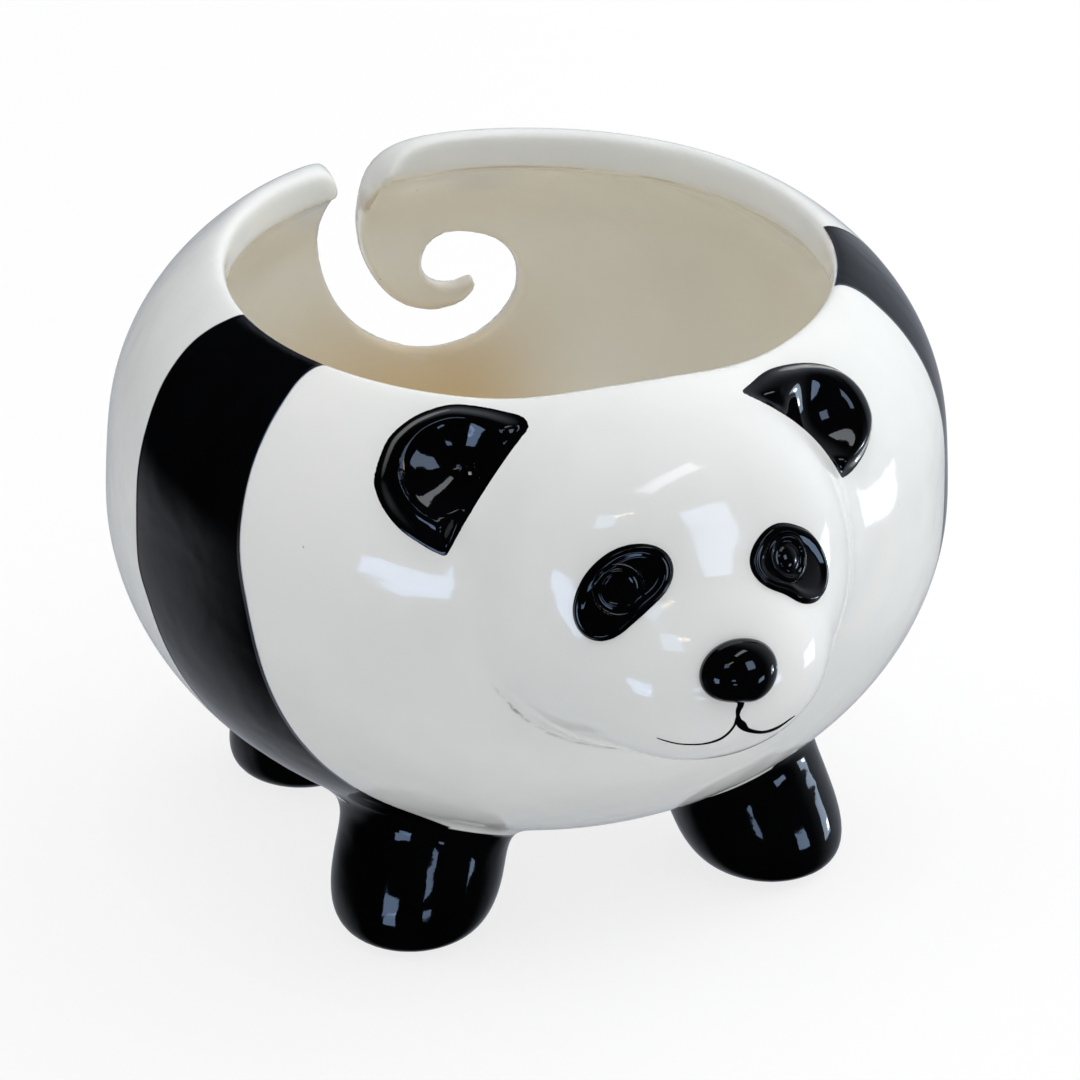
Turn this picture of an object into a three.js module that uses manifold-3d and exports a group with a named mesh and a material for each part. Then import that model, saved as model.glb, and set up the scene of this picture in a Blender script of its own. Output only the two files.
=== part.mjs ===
// Yarn bowl in the form of a standing bear: a slip-cast, glazed stoneware vessel.
// Millimetres, +Z up. The animal faces -Y, so its left side is +X.
// It is laid out about the bowl's own axis with the soles on z = 0, then shifted along Y
// so that the origin is the middle of the bounding box, on the ground.
import * as THREE from 'three';
import { mergeVertices } from 'three/addons/utils/BufferGeometryUtils.js';
import Module from 'manifold-3d';

// ---- shared dimensions --------------------------------------------------
const WALL = 5.0; // cast wall thickness, everywhere
const JOINT = 0.3; // clearance between neighbouring pieces

// ---- boolean helpers ----------------------------------------------------
const wasm = await Module();
wasm.setup();

// Six times the signed volume inside a triangle list; negative if the faces point inward.
function signedVolume(position, triangles) {
  const corner = (i) => new THREE.Vector3().fromBufferAttribute(position, triangles[i]);
  let sum = 0;
  for (let i = 0; i < triangles.length; i += 3) {
    sum += corner(i).dot(corner(i + 1).cross(corner(i + 2)));
  }
  return sum;
}

// Weld a three.js geometry into a Manifold solid.
function solid(geometry) {
  // Normals and texture coordinates would keep the seams from welding.
  geometry.deleteAttribute('normal');
  geometry.deleteAttribute('uv');
  const welded = mergeVertices(geometry, 1e-4);
  const position = welded.attributes.position;
  const index = welded.index.array;
  const triangles = [];
  for (let i = 0; i < index.length; i += 3) {
    const [a, b, c] = index.slice(i, i + 3);
    if (a !== b && b !== c && c !== a) triangles.push(a, b, c);
  }
  // A profile may run either way round, so the faces are turned outward here.
  if (signedVolume(position, triangles) < 0) triangles.reverse();
  return new wasm.Manifold(new wasm.Mesh({
    numProp: 3,
    vertProperties: new Float32Array(position.array),
    triVerts: new Uint32Array(triangles),
  }));
}

function geometryOf(manifold) {
  const { vertProperties, triVerts } = manifold.getMesh();
  const geometry = new THREE.BufferGeometry();
  geometry.setAttribute('position', new THREE.BufferAttribute(new Float32Array(vertProperties), 3));
  geometry.setIndex(new THREE.BufferAttribute(new Uint32Array(triVerts), 1));
  return geometry;
}

// The largest separate body left by a cut.
const largest = (manifold) => manifold.decompose().sort((a, b) => b.volume() - a.volume())[0];

const mirrorX = (manifold) => manifold.mirror([1, 0, 0]);

// ---- shape helpers ------------------------------------------------------
const X_AXIS = new THREE.Vector3(1, 0, 0);
const Y_AXIS = new THREE.Vector3(0, 1, 0);
const Z_AXIS = new THREE.Vector3(0, 0, 1);

// Lathe geometry about Z from [radius, z] points.
function latheZ(points, segments) {
  const profile = points.map(([radius, z]) => new THREE.Vector2(radius, z));
  return new THREE.LatheGeometry(profile, segments).rotateX(Math.PI / 2);
}

// Lathe solid from [radius, height] points, with its base point at centre and its axis given.
function latheAlong(points, segments, centre, axis) {
  const geometry = latheZ(points, segments);
  geometry.applyQuaternion(new THREE.Quaternion().setFromUnitVectors(Z_AXIS, axis));
  geometry.translate(...centre);
  return solid(geometry);
}

// Ellipsoid with a squareness power (2 is a true ellipsoid), grown on every radius.
function superEllipsoid({ centre, radii, power, segments }, grow = 0) {
  const geometry = new THREE.SphereGeometry(1, ...segments).rotateX(Math.PI / 2);
  const position = geometry.attributes.position;
  for (let i = 0; i < position.count; i++) {
    const unit = [position.getX(i), position.getY(i), position.getZ(i)];
    const sum = unit.reduce((total, part) => total + Math.abs(part) ** power, 0);
    const scale = sum ** (-1 / power);
    position.setXYZ(i, ...unit.map((part, k) => part * scale * (radii[k] + grow) + centre[k]));
  }
  return solid(geometry);
}

// Prism of a flat outline in the plane of across and up, running from start to end
// along their cross product.
function prism(outline, across, up, start, end, origin = [0, 0, 0]) {
  const shape = new THREE.Shape(outline.map(([u, v]) => new THREE.Vector2(u, v)));
  const depth = end - start;
  const geometry = new THREE.ExtrudeGeometry(shape, { depth, bevelEnabled: false, steps: 1 });
  geometry.translate(0, 0, start);
  const along = new THREE.Vector3().crossVectors(across, up);
  geometry.applyMatrix4(new THREE.Matrix4().makeBasis(across, up, along));
  geometry.translate(...origin);
  return solid(geometry);
}

const prismAlongX = (outline, start, end) => prism(outline, Y_AXIS, Z_AXIS, start, end);

// The outline is [x, z]. Its x is negated because the plane's across direction is -X.
function prismAlongY(outline, start, end) {
  const flipped = outline.map(([x, z]) => [-x, z]).reverse();
  return prism(flipped, X_AXIS.clone().negate(), Z_AXIS, start, end);
}

// ---- bowl ---------------------------------------------------------------
const BODY_R = 84.0; // largest radius of the bowl
const EQUATOR_Z = 73.2; // height of the largest radius
const RIM_Z = 123.6;
const RIM_INNER_R = 59.3; // radius of the mouth
const FLOOR_Z = 13.0; // underside of the bowl
const UPPER_CURVE = { halfHeight: 65.9, power: 2.8 }; // superellipse above the equator
const LOWER_CURVE = { halfHeight: 63.5, power: 2.0 }; // and below it
const BOWL_SEGMENTS = 60;
const SIDE_STEPS = 16; // steps up the outside of the bowl
const INNER_SIDE_STEPS = 15;
const SIDE_TOP_DROP = 0.9; // the outer side stops this far below the rim
const INNER_TOP_DROP = 1.5;
// Cosine spacing of side heights: the skipped first part of the half wave, and its height share.
const SPACING = { skipped: 0.06, share: 0.0089 };

// Rounded rim, from the outside over the top and down the inside: [radius, z].
const RIM_LIP = [
  [61.35, RIM_Z - 0.35], [60.7, RIM_Z], [60.0, RIM_Z - 0.1],
  [RIM_INNER_R + 0.1, RIM_Z - 0.8], [RIM_INNER_R, RIM_Z - 1.8],
  [RIM_INNER_R, RIM_Z - 5.0], [RIM_INNER_R + 0.5, RIM_Z - 6.0],
];

// Outline of the yarn slot, seen along Y: [x, z]. It runs from above the rim down to a curl.
const SLOT = [
  [5.75, 63.22], [2.25, 63.94], [-2.25, 65.68], [-6.00, 67.98], [-9.50, 71.05], [-12.50, 74.75],
  [-14.90, 78.75], [-16.86, 83.25], [-18.51, 89.00], [-19.22, 93.25], [-19.66, 97.75],
  [-20.19, 111.75], [-20.96, 123.00], [-21.32, 136.00], [-9.40, 136.00], [-10.18, 113.50],
  [-10.06, 100.50], [-9.87, 96.00], [-9.32, 92.00], [-8.49, 88.50], [-6.89, 84.25],
  [-5.18, 81.00], [-3.25, 78.18], [-0.50, 75.46], [2.00, 73.84], [4.00, 73.01], [6.50, 72.41],
  [8.25, 72.31], [10.25, 72.52], [12.50, 73.18], [14.25, 74.16], [15.50, 75.32], [16.38, 76.75],
  [16.65, 78.25], [16.25, 79.60], [15.00, 78.77], [13.00, 77.87], [10.50, 77.78], [9.00, 78.18],
  [7.53, 79.00], [6.45, 80.00], [5.59, 81.25], [5.08, 82.50], [4.81, 84.00], [4.89, 85.50],
  [5.23, 86.75], [5.85, 88.00], [6.75, 89.12], [7.75, 89.95], [9.00, 90.62], [10.00, 90.91],
  [13.00, 90.93], [15.75, 90.37], [19.00, 89.27], [21.00, 88.10], [22.21, 87.00],
  [23.66, 85.25], [24.90, 83.00], [25.37, 81.50], [25.70, 79.25], [25.70, 77.50],
  [25.36, 75.25], [24.18, 72.25], [22.94, 70.25], [21.75, 68.81], [18.75, 66.25],
  [16.25, 64.82], [14.75, 64.20], [10.25, 63.21],
];
const SLOT_Y = [30, 110]; // reach of the slot cutter, through the rear wall only

// Opening from the bowl into the hollow head.
const NECK = { centre: [0, -72, 89], radii: [25, 40, 19], power: 2, segments: [32, 20] };

function bodyRadius(z) {
  const { halfHeight, power } = z >= EQUATOR_Z ? UPPER_CURVE : LOWER_CURVE;
  return BODY_R * Math.sqrt(1 - (Math.abs(z - EQUATOR_Z) / halfHeight) ** power);
}

// Side curve from the floor up to topZ, moved outward along its normal by offset: [radius, z].
function sideCurve(offset, steps = SIDE_STEPS, topZ = RIM_Z) {
  const points = [];
  const probe = 0.05; // half the height step used for the slope
  for (let i = 0; i <= steps; i++) {
    const phase = Math.PI * (SPACING.skipped + (1 - SPACING.skipped) * (i / steps));
    const share = (0.5 - 0.5 * Math.cos(phase) - SPACING.share) / (1 - SPACING.share);
    const z = THREE.MathUtils.clamp(FLOOR_Z + (topZ - FLOOR_Z) * share, FLOOR_Z, topZ);
    const rise = 2 * probe;
    const run = bodyRadius(z + probe) - bodyRadius(z - probe);
    const slant = Math.hypot(run, rise);
    points.push([bodyRadius(z) + offset * rise / slant, z - offset * run / slant]);
  }
  return points;
}

// The bowl as a solid block grown by the joint, used to trim the pieces around it.
function makeBowlClearance() {
  const side = sideCurve(JOINT);
  const floorZ = FLOOR_Z - JOINT;
  const topZ = RIM_Z + JOINT;
  return solid(latheZ([
    [0, floorZ], [side[0][0], floorZ],
    ...side.slice(1),
    [side.at(-1)[0], topZ], [0, topZ],
  ], BOWL_SEGMENTS));
}

function makeBowl(legHollows) {
  // The inner side leaves out points at the floor corner and those that would cross the lip.
  const innerSide = sideCurve(-WALL, INNER_SIDE_STEPS, RIM_Z - INNER_TOP_DROP)
    .filter(([radius, z]) => z > FLOOR_Z + WALL + 1.0 && !(z > 100 && radius < RIM_INNER_R + 0.6));
  let bowl = solid(latheZ([
    [0, FLOOR_Z],
    ...sideCurve(0, SIDE_STEPS, RIM_Z - SIDE_TOP_DROP),
    ...RIM_LIP,
    ...innerSide.reverse(),
    [0, FLOOR_Z + WALL],
  ], BOWL_SEGMENTS));
  bowl = bowl.subtract(prismAlongY(SLOT, ...SLOT_Y)).subtract(superEllipsoid(NECK));
  // The leg hollows open into the bowl.
  for (const hollow of legHollows) bowl = bowl.subtract(hollow).subtract(mirrorX(hollow));
  return bowl;
}

// ---- legs ---------------------------------------------------------------
const LEG_R = 16.8;
const LEG_EDGE_R = 9.0; // rounding of the sole edge
const LEG_EDGE_STEPS = 4;
const LEG_TOP = 46.0; // modelled height, before the bowl trims it
const LEG_LEAN_H = 34.0; // height over which a leg leans from its sole to its top position
const LEG_SEGMENTS = 26;
// Axis positions [x, y] of the left legs at z = 0 and at LEG_LEAN_H.
const FRONT_LEG = { sole: [38.8, -39.5], top: [30.0, -31.0] };
const REAR_LEG = { sole: [40.5, 26.0], top: [31.0, 24.0] };

// Untrimmed leg, grown at the side and sole.
function legBlock({ sole, top }, grow) {
  const radius = LEG_R + grow;
  const edge = LEG_EDGE_R + grow;
  const bottom = -grow;
  const points = [[0, bottom], [radius - edge, bottom]];
  for (let i = 1; i <= LEG_EDGE_STEPS; i++) {
    const angle = (i / LEG_EDGE_STEPS) * Math.PI / 2;
    points.push([
      radius - edge + edge * Math.sin(angle),
      bottom + edge - edge * Math.cos(angle),
    ]);
  }
  points.push([radius, LEG_TOP], [0, LEG_TOP]);

  const geometry = latheZ(points, LEG_SEGMENTS);
  const position = geometry.attributes.position;
  for (let i = 0; i < position.count; i++) {
    const z = position.getZ(i);
    const lean = z / LEG_LEAN_H;
    const x = position.getX(i) + sole[0] + (top[0] - sole[0]) * lean;
    const y = position.getY(i) + sole[1] + (top[1] - sole[1]) * lean;
    position.setXYZ(i, x, y, z);
  }
  return solid(geometry);
}

const legHollow = (place) => legBlock(place, -WALL);

const makeLeg = (place) => largest(
  legBlock(place, 0).subtract(legHollow(place)).subtract(bowlClearance),
);

// ---- head ---------------------------------------------------------------
const HEAD = { centre: [0, -70.0, 91.5], radii: [36.5, 29.0, 33.0], power: 2.4, segments: [32, 20] };
const MUZZLE = {
  centre: [0, -93.0, 84.2], radii: [23.5, 20.2, 18.2], power: 2.0, segments: [28, 18],
};

const headBlock = (grow) => superEllipsoid(HEAD, grow).add(superEllipsoid(MUZZLE, grow));

const makeHead = () => largest(
  headBlock(0).subtract(headBlock(-WALL)).subtract(bowlClearance),
);

// ---- ears: dished discs on the corner between head and bowl -------------
const EAR_CENTRE = [33.5, -68.4, 115.6];
const EAR_AXIS = new THREE.Vector3(0.128, -0.864, 0.4875).normalize();
const EAR_SEGMENTS = 32;
// From the middle of the back to the middle of the dish: [radius, height along the axis].
const EAR_PROFILE = [
  [0, -15.0], [7.5, -14.4], [12.4, -12.0], [14.8, -8.3], [15.4, -4.3], [15.0, -1.6], [13.9, 0.1],
  [12.6, 0.5], [11.2, 0.0], [9.4, -1.2], [6.8, -2.2], [3.6, -2.8], [0, -3.0],
];

const makeEar = () => largest(
  latheAlong(EAR_PROFILE, EAR_SEGMENTS, EAR_CENTRE, EAR_AXIS)
    .subtract(bowlClearance)
    .subtract(headClearance),
);

// ---- eyes and eye patches -----------------------------------------------
const PATCH_CENTRE = [16.67, -95.53, 102.26];
const PATCH_YAW = THREE.MathUtils.degToRad(22.7); // turn from -Y towards +X
const PATCH_PITCH = THREE.MathUtils.degToRad(14.4); // tilt upward
const PATCH_ROLL = THREE.MathUtils.degToRad(-44.7); // turn of the oval in its own plane
const PATCH_HALF_LENGTH = 11.1;
const PATCH_HALF_WIDTH = 6.9;
const PATCH_PROUD = 1.5; // height above the clay
const PATCH_POINTS = 28;
const PATCH_REACH = [-8, 14]; // reach of the patch cutter along its normal
const EYE_CENTRE = [16.9, -95.6, 102.9];
const EYE_R = 3.7;
const EYE_PROUD = 1.5;
const EYE_BASE = -6; // the eye is modelled down to here, then trimmed by the head
const EYE_SEGMENTS = 24;

const patchNormal = new THREE.Vector3(
  Math.sin(PATCH_YAW) * Math.cos(PATCH_PITCH),
  -Math.cos(PATCH_YAW) * Math.cos(PATCH_PITCH),
  Math.sin(PATCH_PITCH),
);
const patchAcross = new THREE.Vector3(Math.cos(PATCH_YAW), Math.sin(PATCH_YAW), 0);
const patchUp = new THREE.Vector3().crossVectors(patchNormal, patchAcross);

// A low domed button with a shallow ring round the pupil.
function eyeBlock(grow) {
  const crown = EYE_PROUD + grow;
  return latheAlong([
    [0, EYE_BASE], [EYE_R + grow, EYE_BASE], [EYE_R + grow, 0.6], [EYE_R - 0.5 + grow, crown],
    [2.5, crown - 0.35], [1.7, crown + 0.1], [0.9, crown + 0.7], [0, crown + 0.9],
  ], EYE_SEGMENTS, EYE_CENTRE, patchNormal);
}

const makeEye = () => largest(eyeBlock(0).subtract(headClearance));

function makeEyePatch() {
  const oval = [];
  const cos = Math.cos(PATCH_ROLL);
  const sin = Math.sin(PATCH_ROLL);
  for (let i = 0; i < PATCH_POINTS; i++) {
    const angle = (i / PATCH_POINTS) * 2 * Math.PI;
    const long = PATCH_HALF_LENGTH * Math.cos(angle);
    const wide = PATCH_HALF_WIDTH * Math.sin(angle);
    oval.push([long * cos - wide * sin, long * sin + wide * cos]);
  }
  const cutter = prism(oval, patchAcross, patchUp, ...PATCH_REACH, PATCH_CENTRE);
  const patch = largest(headBlock(PATCH_PROUD).intersect(cutter).subtract(headClearance));
  return largest(patch.subtract(eyeBlock(JOINT)));
}

// ---- nose and mouth -----------------------------------------------------
const NOSE = { centre: [0, -110.6, 91.35], radii: [8.1, 5.0, 7.0], power: 2.1, segments: [24, 16] };
const MOUTH_PROUD = 0.9; // outer face of the stroke above the clay
const MOUTH_Y = [-130, -90]; // reach of the mouth cutter
// Upright stroke, then the arc drooping to the animal's right: [x, z, half-width].
const MOUTH_STROKE = [
  [0.2, 85.6, 0.5], [0.1, 83.4, 0.6], [-0.9, 81.2, 0.55], [-2.9, 79.5, 0.5],
  [-5.3, 78.1, 0.45], [-8.3, 77.4, 0.4], [-11.9, 77.6, 0.35], [-14.6, 78.6, 0.3],
];

const makeNose = () => largest(superEllipsoid(NOSE).subtract(headClearance));

// Closed outline of a stroke given as [x, z, half-width].
function strokeOutline(stroke) {
  const oneSide = [];
  const otherSide = [];
  stroke.forEach(([x, z, halfWidth], i) => {
    const before = stroke[Math.max(i - 1, 0)];
    const after = stroke[Math.min(i + 1, stroke.length - 1)];
    const dx = after[0] - before[0];
    const dz = after[1] - before[1];
    const scale = halfWidth / Math.hypot(dx, dz);
    oneSide.push([x - dz * scale, z + dx * scale]);
    otherSide.push([x + dz * scale, z - dx * scale]);
  });
  return [...oneSide, ...otherSide.reverse()];
}

function makeMouth() {
  const rightHalf = prismAlongY(strokeOutline(MOUTH_STROKE), ...MOUTH_Y);
  const skin = headBlock(MOUTH_PROUD).subtract(headClearance);
  return largest(
    skin.intersect(rightHalf.add(mirrorX(rightHalf))).subtract(superEllipsoid(NOSE, JOINT)),
  );
}

// ---- black bands over the shoulders -------------------------------------
const BAND_PROUD = 0.9; // outer face above the clay
const BAND_TOP_DROP = 1.2; // the band's skin stops this far below the rim
const BAND_FLOOR_GAP = 3; // and starts above this height over the bowl's floor
const BAND_X = [34, 100]; // reach of the band cutter
// Side view, up then down: [y, z]. The front edge runs down, then the rear edge runs up.
const BAND = [
  [-30.5, 130], [-31.0, 122], [-33.0, 117], [-36.0, 109], [-39.0, 99], [-41.5, 88],
  [-44.5, 77], [-46.8, 67], [-48.3, 54], [-49.3, 39], [-50.5, 30], [-51.0, 20],
  [-19.5, 20], [-19.0, 41], [-17.0, 54], [-14.0, 67], [-9.5, 75], [-7.5, 89],
  [-5.5, 101], [-3.0, 111], [-3.0, 118], [-6.5, 124], [-6.5, 130],
];

function makeBand() {
  const face = (offset) => sideCurve(offset, SIDE_STEPS, RIM_Z - BAND_TOP_DROP)
    .filter(([, z]) => z > FLOOR_Z + BAND_FLOOR_GAP);
  const outside = face(BAND_PROUD);
  const skin = solid(latheZ([...outside, ...face(JOINT).reverse(), outside[0]], BOWL_SEGMENTS));
  return largest(
    skin.intersect(prismAlongX(BAND, ...BAND_X))
      .subtract(legBlock(FRONT_LEG, JOINT))
      .subtract(headClearance),
  );
}

// ---- glazes -------------------------------------------------------------
const glaze = (name, color, roughness) => () => (
  new THREE.MeshStandardMaterial({ name, color, roughness, metalness: 0 })
);
const whiteGlaze = glaze('white_glaze', 0xdfe1dd, 0.16);
const blackGlaze = glaze('black_glaze', 0x08080a, 0.12);

// ---- assembly -----------------------------------------------------------
const bowlClearance = makeBowlClearance();
const headClearance = headBlock(JOINT);

// A black left piece and its mirror image.
const pair = (name, left) => [
  [`${name}_left`, left, blackGlaze],
  [`${name}_right`, mirrorX(left), blackGlaze],
];

const pieces = [
  ['bowl_shell', makeBowl([legHollow(FRONT_LEG), legHollow(REAR_LEG)]), whiteGlaze],
  ['head_shell', makeHead(), whiteGlaze],
  ...pair('ear', makeEar()),
  ...pair('eye_patch', makeEyePatch()),
  ...pair('eye', makeEye()),
  ['nose', makeNose(), blackGlaze],
  ['mouth_line', makeMouth(), blackGlaze],
  ...pair('leg_front', makeLeg(FRONT_LEG)),
  ...pair('leg_rear', makeLeg(REAR_LEG)),
  ...pair('band', makeBand()),
];

const boxes = pieces.map(([, manifold]) => manifold.boundingBox());
const yMin = Math.min(...boxes.map((box) => box.min[1]));
const yMax = Math.max(...boxes.map((box) => box.max[1]));
const shift = -(yMin + yMax) / 2;

const group = new THREE.Group();
group.name = 'yarn_bowl';
for (const [name, manifold, makeGlaze] of pieces) {
  const mesh = new THREE.Mesh(geometryOf(manifold.translate([0, shift, 0])), makeGlaze());
  mesh.name = name;
  group.add(mesh);
}

export default group;
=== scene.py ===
"""Yarn bowl in the shape of a standing panda: the glazed surfaces, built over the CAD frame.

The pot is described by smooth distance fields in millimetres (negative inside), meshed, and
cut along the edges of the coloured glaze. Frame of the fields: origin on the ground under the
bowl axis, +Z up. The face looks along -Y, so the panda's right is -X.
"""
import math

import bpy
import numpy as np
from mathutils import Matrix, Vector


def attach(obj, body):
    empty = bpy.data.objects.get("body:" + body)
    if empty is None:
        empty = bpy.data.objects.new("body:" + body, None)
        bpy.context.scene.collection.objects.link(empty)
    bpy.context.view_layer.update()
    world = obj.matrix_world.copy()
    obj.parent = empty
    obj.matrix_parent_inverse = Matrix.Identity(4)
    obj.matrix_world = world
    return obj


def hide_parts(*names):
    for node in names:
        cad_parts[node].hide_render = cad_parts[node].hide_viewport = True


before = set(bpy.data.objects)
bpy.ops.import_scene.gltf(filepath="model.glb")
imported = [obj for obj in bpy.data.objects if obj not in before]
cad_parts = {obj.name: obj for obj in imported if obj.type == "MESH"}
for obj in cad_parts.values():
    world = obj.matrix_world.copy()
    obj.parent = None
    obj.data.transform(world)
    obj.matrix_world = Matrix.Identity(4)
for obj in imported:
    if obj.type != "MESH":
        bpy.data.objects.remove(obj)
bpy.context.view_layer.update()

# ---------------------------------------------------------------- sizes, in millimetres
WIDEST_Z = 73.2  # height of the widest line of the body
BODY_RADIUS = 84.0
RISE_UP, RISE_DOWN = 65.9, 63.5  # half-heights of the body above and below the widest line
BLEND_LOW, BLEND_HIGH = -15, 25  # where the lower curve turns into the upper, from WIDEST_Z
LIP_Z = 123.6
MOUTH_RADIUS = 59.3
WALL, LIP_EXTRA = 5.0, 3.3  # wall thickness, and what the lip adds to it
UNDERSIDE_Z = 13.0
LEG_HEIGHT, LEG_RADIUS = 34.0, 16.8
EYE_RADIUS = 4.56
CUP_DEPTH = 4.0  # of the hollow in each ear
BAND_THICKNESS, BAND_RECESS = 0.8, 0.9
POT_STEP = 1.4  # mesh steps
EAR_STEP = 0.5
FAR = 9.0  # mask value that means "no glaze edge nearby"
SHIFT = np.array([0.0, 15.8246, 0.0])  # from the field frame to the scene

# leg: (x, y) of its axis at the top, (x, y) at the sole
LEGS = {
    "leg_front_right": ((-30, -31), (-38.5, -39.5)),
    "leg_front_left": ((30, -31), (39.0, -39.5)),
    "leg_rear_right": ((-31, 24), (-40.5, 26)),
    "leg_rear_left": ((31, 24), (40.5, 26)),
}
PART_NAMES = ["bowl_shell", "head_shell", *LEGS]

# centre line of the hooked slot in the back wall: x, z, width
SLOT = [
    (-16.2, 135, 14.4), (-15.9, 123, 12), (-15.2, 112, 10), (-15.0, 103, 9.8),
    (-14.6, 95, 9.6), (-13.2, 87.5, 9.6), (-10.4, 80.5, 9.6), (-6.2, 74.4, 9.4),
    (-0.6, 70.0, 9.2), (6.2, 67.8, 9.2), (12.8, 68.4, 9.2), (18.0, 71.4, 9.0),
    (20.9, 76.0, 9.0), (20.8, 80.8, 9.2), (18.2, 84.2, 9.6), (14.5, 85.0, 11.0),
    (11.5, 84.4, 13.4),
]
# edges of the black strip on each flank: y, z; the front one runs down, the rear one up
BAND_FRONT = [
    (-30.5, 130), (-31, 122), (-33, 117), (-36, 109), (-39, 99), (-41.5, 88), (-44.5, 77),
    (-46.8, 67), (-48.3, 54), (-49.3, 39), (-50.5, 30), (-51, 20), (-51, 8),
]
BAND_REAR = [
    (-33, 8), (-30.5, 19), (-26, 26), (-21.5, 33), (-19, 42), (-17, 54), (-14, 67),
    (-9.5, 75), (-7.5, 89), (-5.5, 101), (-3, 111), (-3, 118), (-6.5, 124), (-6.5, 130),
]


# ---------------------------------------------------------------- field tools
def axes(points):
    return np.moveaxis(points, -1, 0)


def unit(vectors):
    return vectors / np.maximum(np.linalg.norm(vectors, axis=-1, keepdims=True), 1e-12)


def smin(a, b, width):
    """Smooth union: the smaller of two fields, rounded over the given width."""
    h = np.maximum(width - np.abs(a - b), 0) / width
    return np.minimum(a, b) - h * h * h * width / 6


def smax(a, b, width):
    return -smin(-a, -b, width)


def ramp(start, end, value):
    t = np.clip((value - start) / (end - start), 0, 1)
    return t * t * t * (t * (t * 6 - 15) + 10)


def bell(value, middle, width):
    return np.exp(-(((value - middle) / width) ** 2))


def spline(stations, count):
    """Catmull-Rom curve through the stations, sampled at count points."""
    C = np.array(stations, float)
    padded = np.vstack([2 * C[0] - C[1], C, 2 * C[-1] - C[-2]])
    t = np.linspace(0, len(C) - 1 - 1e-6, count)
    i = t.astype(int)
    u = (t - i)[:, None]
    a, b, c, d = (padded[i + k] for k in range(4))
    square = (2 * a - 5 * b + 4 * c - d) * u * u
    return 0.5 * (2 * b + (c - a) * u + square + (3 * b - a - 3 * c + d) * u**3)


def cubic_weights(t):
    return (
        ((1 - t) ** 3) / 6,
        (3 * t**3 - 6 * t * t + 4) / 6,
        (-3 * t**3 + 3 * t * t + 3 * t + 1) / 6,
        t**3 / 6,
    )


class FieldMap:
    """A blurred 2-D field on a fine grid, read back with cubic interpolation."""

    def __init__(self, field, x_span, y_span, step, blur):
        self.corner, self.step = (x_span[0], y_span[0]), step
        ticks = [np.arange(low, high + step, step) for low, high in (x_span, y_span)]
        values = field(*np.meshgrid(*ticks, indexing="ij"))
        reach = int(3 * blur / step) + 1
        kernel = np.exp(-0.5 * (np.arange(-reach, reach + 1) * step / blur) ** 2)
        kernel /= kernel.sum()
        for axis in (0, 1):
            margin = [(0, 0), (0, 0)]
            margin[axis] = (reach, reach)
            wide = np.pad(values, margin, mode="edge")
            window = np.arange(values.shape[axis])
            values = sum(kernel[j] * wide.take(window + j, axis) for j in range(2 * reach + 1))
        self.values = values

    def __call__(self, x, y):
        rows, columns = self.values.shape
        u = np.clip((x - self.corner[0]) / self.step, 1.0, rows - 3.001)
        v = np.clip((y - self.corner[1]) / self.step, 1.0, columns - 3.001)
        i, j = u.astype(int), v.astype(int)
        u_weights, v_weights = cubic_weights(u - i), cubic_weights(v - j)
        return sum(
            u_weights[m] * v_weights[n] * self.values[i + m - 1, j + n - 1]
            for m in range(4)
            for n in range(4)
        )


def outline_field(outline):
    """Signed distance to a closed polygon, as a function of its two coordinates."""

    def field(x, y):
        square = np.full(x.shape, 1e9)
        sign = np.ones(x.shape)
        for (ax, ay), (bx, by) in zip(outline, np.roll(outline, -1, 0)):
            ex, ey, wx, wy = bx - ax, by - ay, x - ax, y - ay
            t = np.clip((wx * ex + wy * ey) / (ex * ex + ey * ey + 1e-12), 0, 1)
            square = np.minimum(square, (wx - ex * t) ** 2 + (wy - ey * t) ** 2)
            above, below, left = y >= ay, y < by, ex * wy > ey * wx
            crossed = (above & below & left) | (~above & ~below & ~left)
            sign = np.where(crossed, -sign, sign)
        return sign * np.sqrt(square)

    return field


def gradient(field, points, step=0.3):
    slopes = np.empty(points.shape)
    for i in range(3):
        offset = np.zeros(3)
        offset[i] = step
        slopes[..., i] = (field(points + offset) - field(points - offset)) / (2 * step)
    return slopes


def move_down(points, distance, slopes, limit):
    """Moves points along the slopes to cancel the distance, by at most the limit."""
    move = (distance / np.maximum((slopes * slopes).sum(-1), 0.05))[..., None] * slopes
    length = np.linalg.norm(move, axis=-1, keepdims=True)
    return points - move * np.minimum(1, limit / np.maximum(length, 1e-9))


def settle(field, points, step):
    """Moves points onto the surface field = 0."""
    return move_down(points, field(points), gradient(field, points, step), 1.5)


# ---------------------------------------------------------------- body, head and legs
def sag(points):
    """The lip sits a touch lower on both sides of the cut slot."""
    x, y, _ = axes(points)
    drop = np.where(x < -15.5, 1.55 * ramp(-52, -24, x), 0.62 * ramp(52, 18, x))
    return drop * ramp(15, 45, y)


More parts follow.
